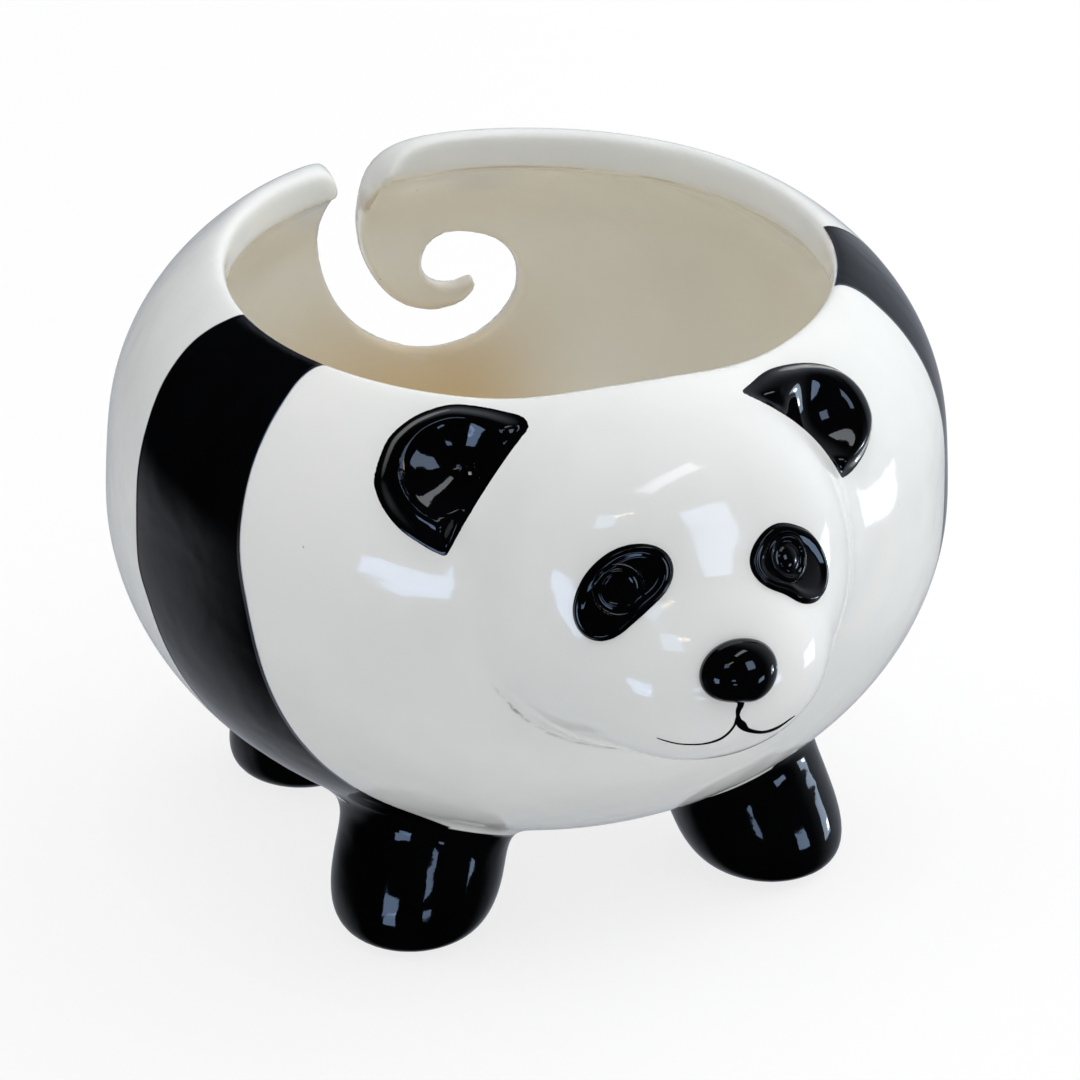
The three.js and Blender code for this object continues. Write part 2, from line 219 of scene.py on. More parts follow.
def body(points):
    """The round pot: an oval below the widest line, a fuller curve (power 2.8) above it."""
    x, y, z = axes(points)
    radius2 = x**2 + y**2
    rise = z - WIDEST_Z
    share = np.abs(rise) / RISE_UP
    low, high = (rise / RISE_DOWN) ** 2, share**2.8
    blend = ramp(BLEND_LOW, BLEND_HIGH, rise)
    span = BLEND_HIGH - BLEND_LOW
    u = np.clip((rise - BLEND_LOW) / span, 0, 1)
    blend_slope = 30 * u * u * (1 - u) ** 2 / span
    low_slope = 2 * rise / RISE_DOWN**2
    high_slope = 2.8 * share**1.8 * np.sign(rise) / RISE_UP
    slope = low_slope * (1 - blend) + high_slope * blend + (high - low) * blend_slope
    level = np.sqrt(np.maximum(radius2 / BODY_RADIUS**2 + low + (high - low) * blend, 1e-4))
    steepness = np.sqrt(4 * radius2 / BODY_RADIUS**4 + slope**2) / (2 * level)
    distance = (level - 1) / np.maximum(steepness, 0.004)
    distance = smax(distance, z - LIP_Z + sag(points), 4.0)
    return smax(distance, UNDERSIDE_Z - z, 12.0)


def oval(points, centre, radii, boxy=0.0):
    """Distance (near the surface) to an oval; boxy = 0 is an ellipsoid, larger is fuller."""
    scaled = [(points[..., i] - centre[i]) / radii[i] for i in range(3)]
    total = sum((1 - boxy) * q * q + boxy * q**4 for q in scaled)
    slopes = [(2 * (1 - boxy) * q + 4 * boxy * q**3) / radii[i] for i, q in enumerate(scaled)]
    level = np.sqrt(np.maximum(total, 1e-6))
    steepness = np.sqrt(sum(q * q for q in slopes)) / (2 * level)
    return (level - 1) / np.maximum(steepness, 0.004)


def head(points):
    skull = oval(points, (0, -70, 91.5), (36.5, 29, 33), boxy=0.26)
    muzzle = oval(points, (0, -93, 84.2), (23.5, 20.2, 18.2))
    return smin(skull, muzzle, 16.0)


def leg(points, top, sole):
    x, y, z = axes(points)
    climb = np.clip(z / LEG_HEIGHT, -0.2, 1.6)
    off_axis = np.hypot(
        x - sole[0] - (top[0] - sole[0]) * climb,
        y - sole[1] - (top[1] - sole[1]) * climb,
    )
    # a foot is a touch fuller a third of the way up than at the ankle
    radius = LEG_RADIUS + 0.35 * bell(z, 11, 9.0) - 0.25 * bell(z, 27, 8.0)
    half = LEG_HEIGHT / 2
    return smax(off_axis - radius, np.abs(z - half) - half, 15.8)


def shapes(points):
    """Separate fields of the body, the head and the four legs."""
    legs = np.minimum.reduce([leg(points, *ends) for ends in LEGS.values()])
    return body(points), head(points), legs


def outer(points):
    """The outside of the pot as if it were solid."""
    body_d, head_d, legs_d = shapes(points)
    neck = 3.6 + 8.6 * ramp(65, 88, points[..., 2])
    return smin(smin(body_d, head_d, neck), legs_d, 8.5)


def slot_field(x, z):
    line = spline(SLOT, 90)
    distance = np.full(x.shape, 1e9)
    for (ax, az, a_width), (bx, bz, b_width) in zip(line[:-1], line[1:]):
        ex, ez = bx - ax, bz - az
        t = np.clip(((x - ax) * ex + (z - az) * ez) / (ex * ex + ez * ez + 1e-9), 0, 1)
        radius = (a_width + (b_width - a_width) * t) / 2
        distance = np.minimum(distance, np.hypot(x - ax - ex * t, z - az - ez * t) - radius)
    return distance


slot_map = FieldMap(slot_field, (-50, 56), (50, 150), step=0.5, blur=0.55)


def wall(points):
    """The wall thickens towards the lip, which gives the lip its upright inner face."""
    return WALL + LIP_EXTRA * ramp(90, 116, points[..., 2])


def solid(points):
    """The hollow pot with its slot."""
    x, y, z = axes(points)
    skin_d = outer(points)
    mouth = smax(np.hypot(x, y) - MOUTH_RADIUS, 100 - z, 3)
    cavity = smin(skin_d + wall(points), mouth, 2.8)
    distance = smax(skin_d, -cavity, 3.9)
    near = (y > 20) & (z > 52) & (np.abs(x) < 46)
    x, z = x[near], z[near]
    # the open end of the slot curves out into the lip, more widely on its +X side
    easing = 11.5 + 11.5 * ramp(-20, -11, x)
    slot = smin(slot_map(x, z), LIP_Z - sag(points[near]) - z, easing)
    distance[near] = smax(distance[near], -slot, 2.8)
    return distance


# ---------------------------------------------------------------- ears
class Ear:
    """A ring wall standing on the head with a shallow cup inside, cut straight on one side.

    chord: ends of the straight edge. ridge: radius of the ring's crest. zone: outline of the
    black glaze seen along the axis, from one end of the straight edge to the other.
    """

    def __init__(self, centre, axis, chord, ridge, zone):
        self.centre = np.array(centre, float)
        self.axis = unit(np.array(axis, float))
        self.ridge = ridge
        start, end = (np.array(q, float) for q in chord)
        along = end - start
        self.along = unit(along - self.axis * (along @ self.axis))
        self.across = np.cross(self.axis, self.along)
        if self.across @ (self.centre - start) < 0:
            self.across = -self.across
        self.chord_y = (start - self.centre) @ self.across
        # the outline is stretched so the ends of its straight edge land on the chord
        low, high = ((q - self.centre) @ self.along for q in (start, end))
        x, y = np.array(zone, float).T
        stretch = (high - low) / (x[-1] - x[0])
        outline = np.stack([low + (x - x[0]) * stretch, self.chord_y + (y - y[0])], -1)
        field = outline_field(spline(outline, 90))
        self.zone_map = FieldMap(field, (-26, 28), (-18, 26), step=0.4, blur=0.35)

    def local(self, points):
        """Coordinates along the chord, across it, and along the ear's axis."""
        offset = points - self.centre
        return offset @ self.along, offset @ self.across, offset @ self.axis

    def zone(self, points):
        return self.zone_map(*self.local(points)[:2])

    def solid(self, points):
        """The ring fused onto the head, its cup scooped out, ending at its outline."""
        x, y, height = self.local(points)
        radius = np.hypot(x, y)
        share = np.minimum(radius / self.ridge, 1)
        zone = self.zone_map(x, y)
        crown = -np.maximum(radius - self.ridge, 0) ** 2 / 12.0
        side = (zone + 0.8 + 0.42 * (height + 4.3)) * 0.92
        ring = smax(side, (height - crown) * 0.9, 3.4)
        bottom = (-CUP_DEPTH * (1 - share * share) ** 1.6 - height) * 0.9
        cup = smax(bottom, radius - self.ridge - 0.3, 0.8)
        cup = smax(cup, self.chord_y - y + 0.5, 1.6)
        base = outer(points) - 0.05
        shape = smax(smin(base, ring, 1.8), -cup, 0.9)
        return smax(smax(shape, zone, 0.9), -(base + 2.6), 0.3)

    def edge(self, points):
        """Negative on the part of the pot's skin that the ear covers."""
        zone = self.zone(points) + 0.45
        depth = (-outer(points) - 2.0) * 0.8
        return np.maximum(np.maximum(zone, depth), -self.local(points)[2] - 14.0)


EARS = {
    "ear_right": Ear(
        centre=(-36.9, -63.7, 115.5),
        axis=(-0.366, -0.685, 0.631),
        chord=((-22.4, -64.0, 121.0), (-41.3, -69.5, 99.9)),
        ridge=10.4,
        zone=[
            (-14.1, -6.9), (-15.2, -4.4), (-14.4, -1.2), (-12.3, 4.2), (-9.5, 9.0),
            (-5.0, 12.6), (-1.0, 14.3), (3.3, 14.8), (9.9, 12.9), (12.4, 10.6), (14.0, 8.0),
            (15.0, 5.3), (15.6, 2.1), (15.6, -1.3), (15.4, -4.6), (14.9, -7.3),
        ],
    ),
    "ear_left": Ear(
        centre=(34.3, -67.9, 114.9),
        axis=(0.366, -0.685, 0.631),
        chord=((17.2, -66.2, 122.5), (36.2, -72.5, 104.0)),
        ridge=9.9,
        zone=[
            (-16.3, -6.7), (-15.6, -4.6), (-14.4, -2.2), (-11.8, 3.4), (-9.0, 7.3),
            (-4.3, 11.8), (1.1, 14.9), (6.6, 15.6), (10.4, 14.2), (13.2, 11.3), (14.2, 8.5),
            (14.6, 3.4), (13.4, -2.2), (11.0, -7.1),
        ],
    ),
}


# ---------------------------------------------------------------- edges of the glazed areas
band_outline = np.vstack([spline(BAND_FRONT, 80), spline(BAND_REAR, 80)])
band_map = FieldMap(outline_field(band_outline), (-70, 15), (-5, 135), step=0.5, blur=0.8)


def band_edge(points):
    return band_map(points[..., 1], points[..., 2])


def fold_edge(points):
    """Zero where head and body meet."""
    body_d, head_d, _ = shapes(points)
    return head_d - body_d


def head_edge(points):
    return smax(fold_edge(points) + 1.5, points[..., 2] - 116.0, 5.0)


def leg_edge(points):
    body_d, _, legs_d = shapes(points)
    return legs_d - body_d - 0.7


def rim_edge(points):
    return MOUTH_RADIUS + 0.9 - np.hypot(points[..., 0], points[..., 1])


def flank_edge(points):
    return 34.0 - np.abs(points[..., 0])


# ---------------------------------------------------------------- meshing
def evaluate(field, points, chunk=300000):
    return np.concatenate([field(points[i : i + chunk]) for i in range(0, len(points), chunk)])


def net(field, low, high, step, block=4):
    """Closed quad mesh of field = 0; only blocks of grid nodes near it are evaluated finely."""
    low = np.array(low, float)
    count = np.ceil((np.array(high) - low) / step).astype(int) + 1
    count = (count + block - 1) // block * block
    blocks = count // block
    middles = [low[i] + step * (block * np.arange(blocks[i]) + (block - 1) / 2) for i in range(3)]
    points = np.stack(np.meshgrid(*middles, indexing="ij"), -1).reshape(-1, 3)
    coarse = evaluate(field, points).reshape(blocks)

    def spread(values):
        for axis in range(3):
            values = np.repeat(values, block, axis)
        return values

    near = spread(np.abs(coarse) < step * (0.87 * (block - 1) + 1.8) * 1.35)
    values = spread(np.where(coarse > 0, 9.0, -9.0))
    values[near] = evaluate(field, low + np.argwhere(near) * step)
    inside = values < 0
    ends = [slice(0, -1), slice(1, None)]
    corners = sum(
        inside[a, b, c].astype(np.int8) for a in ends for b in ends for c in ends
    )
    cells = np.argwhere((corners > 0) & (corners < 8))
    ids = np.full(corners.shape, -1, np.int64)
    ids[tuple(cells.T)] = np.arange(len(cells))

    # one vertex per cell, at the mean of the crossings on its edges
    total, crossings = np.zeros((len(cells), 3)), np.zeros(len(cells))
    for axis in range(3):
        others = [i for i in range(3) if i != axis]
        for b in (0, 1):
            for d in (0, 1):
                offset = np.zeros(3, int)
                offset[others] = b, d
                start = cells + offset
                end = start.copy()
                end[:, axis] += 1
                at_start, at_end = values[tuple(start.T)], values[tuple(end.T)]
                hit = (at_start < 0) != (at_end < 0)
                spot = start[hit].astype(float)
                spot[:, axis] += at_start[hit] / (at_start[hit] - at_end[hit])
                total[hit] += spot
                crossings[hit] += 1

    quads = []
    for axis in range(3):
        side1, side2 = (axis + 1) % 3, (axis + 2) % 3
        first, second = [slice(None)] * 3, [slice(None)] * 3
        first[axis], second[axis] = ends
        e = np.argwhere(inside[tuple(first)] != inside[tuple(second)])
        for side in (side1, side2):
            e = e[(e[:, side] > 0) & (e[:, side] < count[side] - 1)]
        step1, step2 = np.eye(3, dtype=int)[[side1, side2]]
        around = (e - step1 - step2, e - step2, e, e - step1)
        quad = np.stack([ids[tuple(cell.T)] for cell in around], -1)
        flip = ~inside[tuple(e.T)]
        quad[flip] = quad[flip][:, ::-1]
        quads.append(quad)
    return low + step * total / crossings[:, None], np.vstack(quads)


def relax(field, points, quads, rounds, step):
    """Evens out the mesh while keeping it on the surface."""
    edges = np.vstack([quads[:, [i, (i + 1) % 4]] for i in range(4)])
    a, b = np.unique(np.sort(edges, 1), axis=0).T
    count = len(points)
    weight = (np.bincount(a, minlength=count) + np.bincount(b, minlength=count))[:, None]
    for _ in range(rounds):
        total = np.zeros_like(points)
        for i in range(3):
            total[:, i] = np.bincount(a, points[b, i], count) + np.bincount(b, points[a, i], count)
        points = settle(field, points + 0.5 * (total / weight - points), step)
    return settle(field, points, step)


def triangles(points, quads):
    """Splits each quad along its shorter diagonal."""
    a, b, c, d = (points[quads[:, i]] for i in range(4))
    first = ((a - c) ** 2).sum(1) <= ((b - d) ** 2).sum(1)
    one, two = quads[first], quads[~first]
    return np.vstack([one[:, [0, 1, 2]], one[:, [0, 2, 3]], two[:, [0, 1, 3]], two[:, [1, 2, 3]]])


def columns(*values):
    return np.stack(np.broadcast_arrays(*values), -1)


def cut(points, faces, field, edge):
    """Splits the triangles that cross edge = 0, so no triangle lies on both sides."""
    level = edge(points)
    level = np.where(np.abs(level) < 1e-6, 1e-6, level)
    positive = level[faces] > 0
    count = positive.sum(1)
    split = (count == 1) | (count == 2)
    # turn each split triangle so the corner that is alone on its side comes first
    alone = np.where(count[split][:, None] == 1, positive[split], ~positive[split]).argmax(1)
    order = (alone[:, None] + np.arange(3)) % 3
    turned = faces[split][np.arange(split.sum())[:, None], order]
    pairs = np.sort(np.vstack([turned[:, [0, 1]], turned[:, [0, 2]]]), 1)
    pairs, index = np.unique(pairs, axis=0, return_inverse=True)
    index = index.ravel()
    a, b = pairs.T
    t = (level[a] / (level[a] - level[b]))[:, None]
    added = settle(field, points[a] * (1 - t) + points[b] * t, 0.2)
    # slide back onto the border after settling
    normals = unit(gradient(field, added, 0.2))
    slopes = gradient(edge, added, 0.2)
    slopes -= normals * (slopes * normals).sum(-1, keepdims=True)
    added = move_down(added, edge(added), slopes, 0.25)
    mid1, mid2 = len(points) + index[: len(turned)], len(points) + index[len(turned) :]
    tip, left, right = turned.T
    pieces = [columns(tip, mid1, mid2), columns(mid1, left, right), columns(mid1, right, mid2)]
    return np.vstack([points, added]), np.vstack([faces[~split], *pieces])


def compact(faces):
    """Vertices in use, and the faces renumbered to them."""
    used, index = np.unique(faces, return_inverse=True)
    return used, index.reshape(faces.shape)


def sides(faces):
    return np.vstack([faces[:, [0, 1]], faces[:, [1, 2]], faces[:, [2, 0]]])


def border(faces):
    """Directed border edges of an open triangle mesh."""
    edges = sides(faces)
    base = faces.max() + 1
    return edges[~np.isin(edges[:, 0] * base + edges[:, 1], edges[:, 1] * base + edges[:, 0])]


def skirt(a, b, low_a, low_b):
    """Two triangles per border edge a-b, joining it to its lowered copy."""
    return np.vstack([columns(b, a, low_a), columns(b, low_a, low_b)])


def loops(edges):
    """Chains directed edges into loops, the longest first."""
    following = {}
    for a, b in edges.tolist():
        following.setdefault(a, []).append(b)
    found = []
    while following:
        loop = [next(iter(following))]
        while True:
            b = following[loop[-1]].pop()
            if not following[loop[-1]]:
                del following[loop[-1]]
            if b == loop[0] or b not in following:
                break
            loop.append(b)
        found.append(loop)
    return sorted(found, key=len, reverse=True)


def zip_loops(points, one, two):
    """Triangles closing the ring between two border loops that run in opposite directions."""
    two = two[::-1]
    k = int(((points[two] - points[one[0]]) ** 2).sum(1).argmin())
    two = two[k:] + two[:k]
    one, two = one + [one[0]], two + [two[0]]

    def gap(i, j):
        if i == len(one) or j == len(two):
            return 1e18
        return ((points[one[i]] - points[two[j]]) ** 2).sum()

    i = j = 0
    faces = []
    while i < len(one) - 1 or j < len(two) - 1:
        if gap(i + 1, j) <= gap(i, j + 1):
            faces.append([one[i + 1], one[i], two[j]])
            i += 1
        else:
            faces.append([one[i], two[j], two[j + 1]])
            j += 1
    return np.array(faces)


# painted masks and their resting values: cream = share of the inside colour,
# ink = distance to the nearest black edge in mm, the last = scaled distance to the chin fold, for
# a line of painted shade
MASKS = {"cream": 0.0, "ink": FAR, "fold": FAR}


class Piece:
    """Vertices, triangles, shading normals and painted masks of one object."""

    def __init__(self, points, faces, normals, **masks):
        self.points, self.faces, self.normals = points, faces, normals
        self.masks = {k: masks.get(k, np.full(len(points), rest)) for k, rest in MASKS.items()}

    def add(self, points, faces, normals):
        self.faces = np.vstack([self.faces, faces + len(self.points)])
        self.points = np.vstack([self.points, points])
        self.normals = np.vstack([self.normals, normals])
        for k, rest in MASKS.items():
            self.masks[k] = np.concatenate([self.masks[k], np.full(len(points), rest)])


# ---------------------------------------------------------------- the pot, cut into areas
class Skin:
    """The whole pot as one mesh; each face has a part number and an inlay (EAR, BAND or 0)."""

    EAR, BAND = 1, 2

    def __init__(self):
        points, quads = net(solid, (-88, -118, -3), (88, 88, 128), POT_STEP)
        points = relax(solid, points, quads, rounds=4, step=0.3)
        faces = triangles(points, quads)
        edges = [leg_edge, head_edge, fold_edge, band_edge, rim_edge, flank_edge]
        for edge in edges + [ear.edge for ear in EARS.values()]:
            points, faces = cut(points, faces, solid, edge)
        self.points, self.faces = points, faces
        self.normals = unit(gradient(solid, points, 0.35))
        self.label_faces()
        self.paint()

    def label_faces(self):
        middles = self.points[self.faces].mean(1)
        x, y, _ = axes(middles)
        depth = -outer(middles)
        on_head, on_leg = head_edge(middles) < 0, leg_edge(middles) < 0
        # part numbers follow PART_NAMES
        self.part = np.where(on_leg, 2 + (x > 0) + 2 * (y > 0), np.where(on_head, 1, 0))
        on_band = (self.part == 0) & (band_edge(middles) < 0) & (rim_edge(middles) < 0)
        on_band &= (flank_edge(middles) < 0) & (depth < 2.5)
        on_ear = np.zeros(len(middles), bool)
        for ear in EARS.values():
            on_ear |= (ear.edge(middles) < 0) & (depth < 1.5)
        self.inlay = np.where(on_ear, self.EAR, np.where(on_band, self.BAND, 0))
        self.flank_side = np.sign(x)

    def paint(self):
        x, y, z = axes(self.points)
        depth = -outer(self.points)
        # the inside colour starts below the lip and also covers the cut faces of the slot
        cream = ramp(0.82, 1.0, depth / wall(self.points))
        in_slot = (y > 20) & (slot_map(x, z) < 1.5)
        cream = np.maximum(cream, ramp(0.7, 2.6, depth) * in_slot * ramp(116, 98, z))
        # where the line of painted shade in the chin fold goes
        at_chin = (depth < 1.5) & (z < 80) & (y < -40)
        fold = np.where(at_chin, np.abs(fold_edge(self.points) - 0.6) / 1.45, FAR)
        band = np.maximum(band_edge(self.points), rim_edge(self.points))
        self.band_d = band = np.maximum(band, flank_edge(self.points))
        leg_d = np.abs(leg_edge(self.points))
        ink = np.where(depth > 1.5, FAR, np.minimum(np.abs(band), leg_d))
        leg_ink = np.where((depth < 1.5) & (band > 0.5), leg_d, FAR)
        self.masks = {"cream": cream, "ink": ink, "leg_ink": leg_ink, "fold": fold}

    def band_piece(self, side):
        """The black strip of one flank, its outer face flush with the skin."""
        chosen = (self.inlay == self.BAND) & (self.flank_side == side)
        used, faces = compact(self.faces[chosen])
        points, normals = self.points[used], self.normals[used]
        piece = Piece(points, faces, normals, ink=np.abs(self.band_d[used]))
        piece.add(points - BAND_THICKNESS * normals, faces[:, ::-1], -normals)
        a, b = border(faces).T
        piece.faces = np.vstack([piece.faces, skirt(a, b, a + len(used), b + len(used))])
        return piece

    def recess(self, inlay, depth_of):
        """Pushes an inlay's faces inward and joins them to the rest with a small wall."""
        chosen = self.inlay == inlay
        used, faces = compact(self.faces[chosen])
        count = len(self.points)
        points, normals = self.points[used], self.normals[used]
        sunk = points - normals * depth_of(points)[:, None]
        self.points = np.vstack([self.points, sunk])
        self.normals = np.vstack([self.normals, normals])
        for k, mask in self.masks.items():
            extra = mask[used] if k == "cream" else np.full(len(used), FAR)
            self.masks[k] = np.concatenate([mask, extra])
        # each wall triangle belongs to the part of the face above it
        parts = np.tile(self.part[chosen], 3).tolist()
        part_of = dict(zip(map(tuple, sides(faces).tolist()), parts))
        edges = border(faces)
        wall_part = np.array([part_of[tuple(edge)] for edge in edges.tolist()])
        a, b = edges.T
        walls = skirt(used[b], used[a], b + count, a + count)
        self.faces = np.vstack([self.faces[~chosen], faces + count, walls])
        self.part = np.concatenate([self.part[~chosen], self.part[chosen], wall_part, wall_part])
        rest = np.zeros(len(faces) + len(walls), int)
        self.inlay = np.concatenate([self.inlay[~chosen], rest])


def ear_recess(points):
    """Depth that brings the skin just under the ears."""
    depth = np.full(len(points), 1e9)
    for ear in EARS.values():
        near = np.linalg.norm(points - ear.centre, axis=1) < 32
        depth = np.minimum(depth, np.where(near, ear.solid(points), 1e9))
    return np.clip(depth + 0.7, 0.3, 4.4)


def split_pot(skin):
    """One closed piece per part; the same cap closes a part and, reversed, the bowl."""
    caps = {}
    for part in range(1, len(PART_NAMES)):
        rings = [q for q in loops(border(skin.faces[skin.part == part])) if len(q) > 8]
        if len(rings) == 2:  # only an outer and an inner ring can be zipped
            caps[part] = zip_loops(skin.points, *rings)
    pieces = {}
    for part, name in enumerate(PART_NAMES):
        faces = [skin.faces[skin.part == part]]
        if part == 0:
            faces += [cap[:, ::-1] for cap in caps.values()]
        elif part in caps:
            faces.append(caps[part])
        masks = dict(skin.masks)
        leg_ink = masks.pop("leg_ink")
        if name in LEGS:
            masks["ink"] = leg_ink
        pieces[name] = Piece(skin.points, np.vstack(faces), skin.normals, **masks)
    return pieces


def ear_piece(ear):
    points, quads = net(ear.solid, ear.centre - 24, ear.centre + 24, EAR_STEP)
    points = relax(ear.solid, points, quads, rounds=3, step=0.12)
    normals = unit(gradient(ear.solid, points, 0.16))
    return Piece(points, triangles(points, quads), normals, ink=np.abs(ear.zone(points)))


# ---------------------------------------------------------------- pads on the face
# each frame: centre, outward direction, across, up
PAD_FRAMES = {
    "right": ((-17.105, -96.535, 103.035), (-0.382, -0.858, 0.342),
              (0.914, -0.407, 0), (0.139, 0.312, 0.94)),
    "left": ((16.48, -96.999, 102.624), (0.382, -0.858, 0.342),
             (0.914, 0.407, 0), (-0.139, 0.312, 0.94)),
    "nose": ((0.409, -110.738, 90.777), (0, -0.99, 0.139), (1, 0, 0), (0, 0.139, 0.99)),
}
# outline radius of each pad: mean, then cosine and sine terms of rising order
PAD_OUTLINES = {
    "right": [8.5, -0.07, 0.09, -0.01, 2.11, 0.34, 0.24, -0.24, 0.0, -0.08, 0.11],
    "left": [8.47, 0.03, 0.05, 0.38, -1.39, -0.34, 0.02, 0.03, -0.11, -0.17, 0.09],
    "nose": [6.51, 0.02, 0.01, 0.92, -0.06, -0.13, -0.04, 0.05, 0.09],
}
EYE_AT = {"right": (-17.551, -96.717, 103.406), "left": (15.35, -97.288, 104.223)}
# ripples near one side of each eye patch's rim: direction (radians), angular spread,
# then (height, distance inside the outline, width) of each
RIPPLES = {
    "right": (0.5, 0.75, [(0.08, 0.7, 0.3), (-0.13, 1.3, 0.32)]),
    "left": (3.3, 0.9, [(0.12, 0.7, 0.28), (-0.18, 1.3, 0.3), (0.1, 2.2, 0.45)]),
}
# ring positions from centre (0) to outline (1)
PAD_RINGS = np.concatenate([
    np.linspace(0, 0.8, 44)[1:],
    0.8 + 0.2 * np.sin(np.linspace(0, np.pi / 2, 22)[1:]),
])
EYE_RINGS = np.concatenate([np.linspace(0, 0.95, 40)[1:], np.linspace(0.95, 1, 6)[1:]])


def pad_shape(name):
    """Frame of a pad and its outline radius as a function of angle."""
    terms = PAD_OUTLINES[name]

    def radius(angle):
        total = np.full(np.shape(angle), float(terms[0]))
        for k in range(1, (len(terms) - 1) // 2 + 1):
            total = total + terms[2 * k - 1] * np.cos(k * angle) + terms[2 * k] * np.sin(k * angle)
        return total

    return [np.array(row, float) for row in PAD_FRAMES[name]], radius


def on_face(points, outward):
    """Slides points along the outward direction onto the skin."""
    for _ in range(8):
        slope = gradient(outer, points, 0.2) @ outward
        move = outer(points) / np.where(np.abs(slope) < 0.2, 0.2, slope)
        points = points - move[:, None] * outward
    return points


def vertex_normals(points, faces):
    a, b, c = (points[faces[:, i]] for i in range(3))
    face_normals = np.cross(b - a, c - a)
    normals = np.zeros_like(points)
    for k in range(3):
        for i in range(3):
            normals[:, i] += np.bincount(faces[:, k], face_normals[:, i], len(points))
    return unit(normals)


def pad(frame, radius, height, count, rings=PAD_RINGS, under=-1.3):
    """A raised glazed area: a polar grid on the face with count points around.

    It is pushed out by height(x, y, inset), where inset is the distance inside its outline.
    """
    centre, outward, across, up = frame
    ring, angle = np.meshgrid(rings, np.arange(count) / count * 2 * np.pi, indexing="ij")
    reach = radius(angle)
    x = np.concatenate([[0.0], (ring * reach * np.cos(angle)).ravel()])
    y = np.concatenate([[0.0], (ring * reach * np.sin(angle)).ravel()])
    inset = np.concatenate([[radius(np.zeros(1))[0]], ((1 - ring) * reach).ravel()])
    base = on_face(centre + x[:, None] * across + y[:, None] * up, outward)
    normals = unit(gradient(outer, base, 0.4))
    top = base + normals * height(x, y, inset)[:, None]
    i = np.arange(count)
    j = (i + 1) % count
    faces = [columns(0, 1 + i, 1 + j)]
    for k in range(len(rings) - 1):
        a = 1 + k * count
        b = a + count
        faces += [columns(a + i, b + i, b + j), columns(a + i, b + j, a + j)]
    faces = np.vstack(faces)
    piece = Piece(top, faces, vertex_normals(top, faces), ink=inset)
    # a skirt runs down from the rim and a fan closes it below the skin
    size = len(top)
    rim = normals[-count:]
    low = base[-count:] + rim * under
    no_faces = np.zeros((0, 3), int)
    piece.add(np.vstack([low, low.mean(0)]), no_faces, -np.vstack([rim, rim.mean(0)]))
    a, b = border(faces).T
    low_a, low_b = a + count, b + count
    fan = columns(low_b, low_a, size + count)
    piece.faces = np.vstack([piece.faces, skirt(a, b, low_a, low_b), fan])
    return piece


def eye_pieces(side):
    """The eye patch and the round eye set into it."""
    frame, radius = pad_shape(side)
    centre, outward, across, up = frame
    offset = np.array(EYE_AT[side]) - centre
    eye_x, eye_y = offset @ across, offset @ up
    direction, spread, ripples = RIPPLES[side]

    def from_eye(x, y):
        return np.hypot(x - eye_x, (y - eye_y) * 0.97)

    def relief(x, y, inset):
        angle = np.arctan2(y, x)
        height = -0.28 + 1.15 * ramp(-0.3, 1.35, inset) - 0.42 * ramp(1.4, 3.6, inset)
        window = bell((angle - direction + np.pi) % (2 * np.pi) - np.pi, 0, spread)
        height += window * sum(rise * bell(inset, at, width) for rise, at, width in ripples)
        height += 0.05 * np.sin(3 * angle + 1) * ramp(0, 1, inset) * (1 - ramp(2, 4, inset))
        q = from_eye(x, y)
        if side == "right":  # a ring around a shallow dish
            height += 0.2 * bell(q, 3.1, 0.42) - 0.2 * (1 - ramp(0.0, 2.8, q))
        else:  # a ring, a groove and a domed middle
            height += 0.36 * bell(q, 3.75, 0.5) - 0.18 * bell(q, 2.9, 0.5)
            height += 0.75 * np.maximum(1 - (q / 2.3) ** 2, 0) ** 0.85
        return height

    def patch_height(x, y, inset):
        sunk = 1 - ramp(EYE_RADIUS - 0.14, EYE_RADIUS, from_eye(x, y))
        return relief(x, y, inset) - 0.7 * sunk

    def eye_height(x, y, inset):
        x, y = x + eye_x, y + eye_y
        patch_inset = radius(np.arctan2(y, x)) - np.hypot(x, y)
        return relief(x, y, patch_inset) - 0.8 * (1 - ramp(0, 0.14, inset))

    def eye_radius(angle):
        return np.full(np.shape(angle), EYE_RADIUS)

    patch = pad(frame, radius, patch_height, 220)
    eye_frame = (centre + eye_x * across + eye_y * up, outward, across, up)
    eye = pad(eye_frame, eye_radius, eye_height, 120, EYE_RINGS, under=-1.2)
    eye.masks["ink"][:] = FAR
    return {"eye_patch_" + side: patch, "eye_" + side: eye}


def nose_piece():
    frame, radius = pad_shape("nose")

    def height(x, y, inset):
        angle = np.arctan2(y, x)
        share = np.clip(1 - inset / radius(angle), 0, 1)
        dome = 5.0 * (1 - share**2.15) ** 0.56 - 0.35
        tilt = 0.25 * ramp(0.1, 0.9, share) * np.sin(angle)
        groove = 0.25 * bell(x, 0, 1.1) * ramp(0.35, 0.8, share) * (y < 0)
        return dome + tilt - groove

    return pad(frame, radius, height, 160)


# strokes of the mouth: x, z, half width
MOUTH = [
    [(0.21, 85.9, 0.62), (0.1, 84.9, 0.55), (-0.27, 84.0, 0.45), (-0.37, 82.3, 0.24)],
    [
        (-0.3, 82.9, 0.26), (-0.05, 81.6, 0.5), (0.72, 80.41, 0.68), (2.18, 78.73, 0.42),
        (5.75, 76.79, 0.36), (8.82, 76.34, 0.5), (11.52, 77.01, 0.3), (13.06, 77.3, 0.08),
    ],
    [
        (-0.36, 82.9, 0.2), (-0.5, 82.2, 0.24), (-0.85, 80.53, 0.22), (-2.08, 78.47, 0.25),
        (-3.71, 77.19, 0.28), (-6.44, 76.47, 0.2), (-9.88, 76.56, 0.17),
        (-12.27, 77.17, 0.15), (-13.89, 77.78, 0.07),
    ],
]


